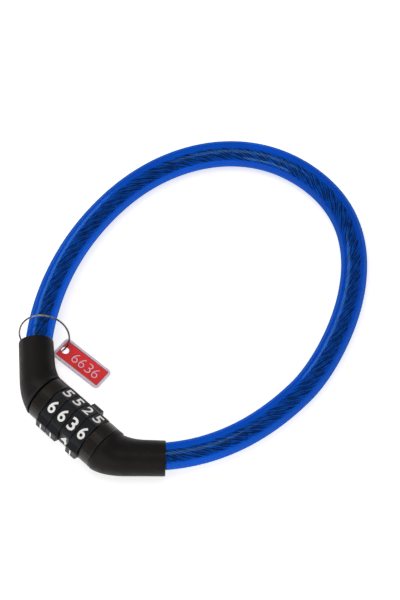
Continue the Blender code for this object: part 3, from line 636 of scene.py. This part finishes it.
# ---- numerals ---------------------------------------------------------------------------------
CODE = (6, 6, 3, 6)                   # the digits that the dials show on their reading side
READ_ANGLE = 22.0                     # degrees round the barrel from the top to that side
FACET_COUNT = 6
FACET_ANGLE = 60.0
FACET_HEIGHT = 8.0 * MM               # from the barrel's axis to a flat side
LOBE_DIGIT = 1                        # the digit on each dial's raised side
LOBE_HEIGHT = 10.1 * MM
NUMERAL_HEIGHT, NUMERAL_WIDTH = 5.1 * MM, 2.95 * MM
LOBE_NUMERAL_HEIGHT = 3.1 * MM
NUMERAL_WEIGHT = 0.018                # added all round a glyph of size 1
NUMERAL_SUNK = 0.06 * MM
NUMERAL_PROUD = 0.04 * MM
GLYPH_RESOLUTION = 6


def glyph(text, height, width, thickness, weight):
    """A numeral as a solid in the XY plane, centred, of that height; width None keeps its own."""
    curve = bpy.data.curves.new("glyph", 'FONT')
    curve.body = text
    curve.size = 1.0
    curve.offset = weight
    curve.extrude = 0.5                   # a thickness of 1 in all
    curve.resolution_u = GLYPH_RESOLUTION
    item = bpy.data.objects.new("glyph", curve)
    bpy.context.scene.collection.objects.link(item)
    bpy.context.view_layer.update()
    graph = bpy.context.evaluated_depsgraph_get()
    mesh = bpy.data.meshes.new_from_object(item.evaluated_get(graph))
    bpy.data.objects.remove(item)
    xs = [v.co.x for v in mesh.vertices]
    ys = [v.co.y for v in mesh.vertices]
    scale_y = height / (max(ys) - min(ys))
    scale_x = width / (max(xs) - min(xs)) if width else scale_y
    middle = Vector(((max(xs) + min(xs)) / 2, (max(ys) + min(ys)) / 2, 0.0))
    scale = Matrix.Diagonal((scale_x, scale_y, thickness, 1.0))
    mesh.transform(scale @ Matrix.Translation(-middle))
    return mesh


def add_mesh(shape, mesh, matrix):
    mesh.transform(matrix)
    shape.from_mesh(mesh)
    bpy.data.meshes.remove(mesh)


def numeral_place(x, angle, height):
    """X along the barrel, Y round it, Z out of it, at a facet's middle."""
    across = Vector((0.0, math.cos(angle), math.sin(angle)))
    outward = Vector((0.0, -math.sin(angle), math.cos(angle)))
    turn = Matrix((Vector((1.0, 0.0, 0.0)), across, outward)).transposed()
    return (LOCK @ Matrix.Translation((x, 0.0, 0.0)) @ turn.to_4x4()
            @ Matrix.Translation((0.0, 0.0, height)))


def make_numerals():
    """The digits 1 to 6 round each dial, turned so that the code is on the reading side."""
    thickness = NUMERAL_SUNK + NUMERAL_PROUD
    lock_x = LOCK.translation.x
    for number in range(1, DIAL_COUNT + 1):
        shape = bmesh.new()
        x = DIAL_PLACES[number - 1].x - lock_x
        for digit in range(1, FACET_COUNT + 1):
            angle = math.radians(READ_ANGLE + FACET_ANGLE * (digit - CODE[number - 1]))
            height, width, facet = NUMERAL_HEIGHT, NUMERAL_WIDTH, FACET_HEIGHT
            if digit == LOBE_DIGIT:
                height, width, facet = LOBE_NUMERAL_HEIGHT, None, LOBE_HEIGHT
            add_mesh(shape, glyph(str(digit), height, width, thickness, NUMERAL_WEIGHT),
                     numeral_place(x, angle, facet + NUMERAL_PROUD - thickness / 2))
        piece = new_piece("numerals_%d" % number, shape, NUMERAL.material)
        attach(piece, "dial_%d" % number)


make_numerals()

# ---- the tag's number -------------------------------------------------------------------------
TAG_YAW, TAG_PITCH, TAG_ROLL = math.radians(5.3), math.radians(6.4), math.radians(-8.3)
CARD_TOP = 0.28 * MM
TAG_DIGIT_HEIGHT = 4.1 * MM
TAG_DIGIT_WIDTH = 2.35 * MM
TAG_DIGIT_THICKNESS = 0.06 * MM
TAG_DIGIT_WEIGHT = -0.02
TAG_DIGIT_PITCH = 3.15 * MM
TAG_DIGIT_START = 5.2 * MM            # the first digit's middle, from the tag's hole


def make_tag_number():
    """The code in thin digits on the red card."""
    turn = (Matrix.Rotation(TAG_YAW, 4, 'Z') @ Matrix.Rotation(TAG_PITCH, 4, 'Y')
            @ Matrix.Rotation(TAG_ROLL, 4, 'X'))
    tag = Matrix.Translation(Vector(JOINTS["tag_swing"]["pos_m"])) @ LOCK_TURN.to_4x4() @ turn
    shape = bmesh.new()
    for index, digit in enumerate(CODE):
        place = Matrix.Translation((TAG_DIGIT_START + index * TAG_DIGIT_PITCH, 0.0, CARD_TOP))
        mesh = glyph(str(digit), TAG_DIGIT_HEIGHT, TAG_DIGIT_WIDTH, TAG_DIGIT_THICKNESS,
                     TAG_DIGIT_WEIGHT)
        add_mesh(shape, mesh, tag @ place)
    piece = new_piece("tag_number", shape, TAG_INK.material)
    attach(piece, "tag")


make_tag_number()

# ---- floor and lights -------------------------------------------------------------------------
FLOOR_HALF_SIZE = 3.0                 # m
FLOOR_GLOW = 0.55
WORLD_STRENGTH = 0.44
WHITE = (1.0, 1.0, 1.0)
# name, place, width and height in m, power in W, colour; all face the lock
LIGHTS = [("key", (-0.85, 0.10, 0.55), (0.55, 0.40), 2.0, WHITE),
          ("fill", (0.25, -0.80, 0.45), (0.60, 0.35), 2.6, WHITE),
          ("top", (0.02, -0.02, 0.90), (0.50, 0.40), 1.6, (1.0, 0.93, 0.88))]


def make_floor():
    """A plain pale floor that glows a little, so that it stays white under the soft lights."""
    nodes = Nodes("floor")
    nodes.color(nodes.clouds(6.0, (0.90, 0.90, 0.905), (0.93, 0.93, 0.935)))
    nodes.set(Roughness=0.9, Specular_IOR_Level=0.1, Emission_Strength=FLOOR_GLOW,
              Emission_Color=(*WHITE, 1.0))
    shape = bmesh.new()
    bmesh.ops.create_grid(shape, x_segments=2, y_segments=2, size=FLOOR_HALF_SIZE)
    piece = new_piece("floor", shape, nodes.material)


def area_light(name, place, size, power, color):
    data = bpy.data.lights.new(name, 'AREA')
    data.shape = 'RECTANGLE'
    data.size, data.size_y = size
    data.energy = power
    data.color = color
    light = bpy.data.objects.new(name, data)
    bpy.context.scene.collection.objects.link(light)
    turn = (-Vector(place)).to_track_quat('-Z', 'Y').to_matrix()
    light.matrix_world = Matrix.Translation(place) @ turn.to_4x4()


def make_lights():
    for light in LIGHTS:
        area_light(*light)
    world = bpy.data.worlds.new("world")
    bpy.context.scene.world = world
    world.use_nodes = True
    background = world.node_tree.nodes["Background"]
    background.inputs["Color"].default_value = (*WHITE, 1.0)
    background.inputs["Strength"].default_value = WORLD_STRENGTH


make_floor()
make_lights()
